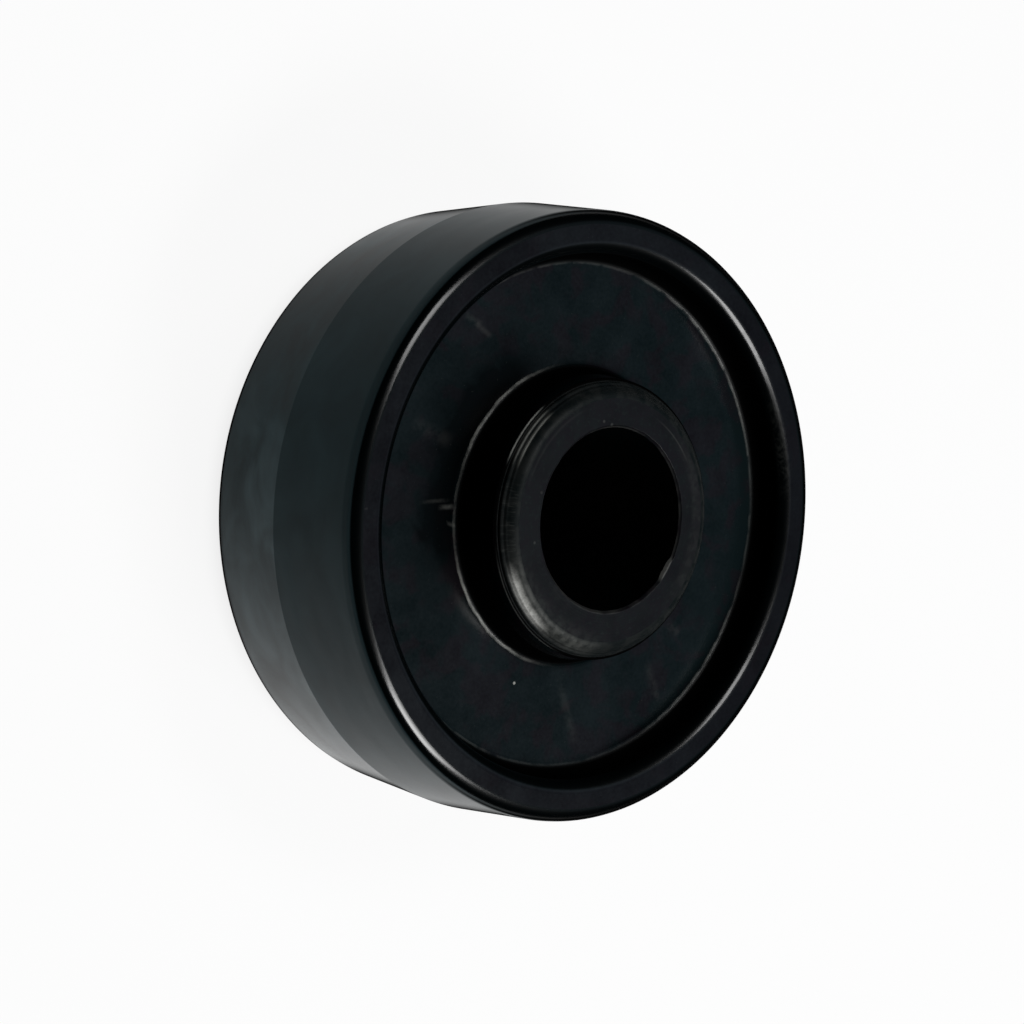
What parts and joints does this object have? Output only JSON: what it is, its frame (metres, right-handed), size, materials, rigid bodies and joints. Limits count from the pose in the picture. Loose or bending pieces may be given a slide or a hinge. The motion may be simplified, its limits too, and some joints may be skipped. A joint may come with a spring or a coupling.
{
  "type": "nylon roller",
  "caption": "Solid black nylon roller with a plain through bore, a tread tapered both ways from its parting line, a recessed web and a hub that stands proud at each end.",
  "frame": {"origin": "middle of the bore, on the plane of the tread's parting line", "axes": "+Z along the bore, up when the roller stands on a hub end; X and Y across the round tread"},
  "size_m": [0.051, 0.051, 0.022],
  "materials": {
    "nylon": "satin"
  },
  "bodies": {
    "root": {"roller": "nylon"}
  },
  "joints": []
}
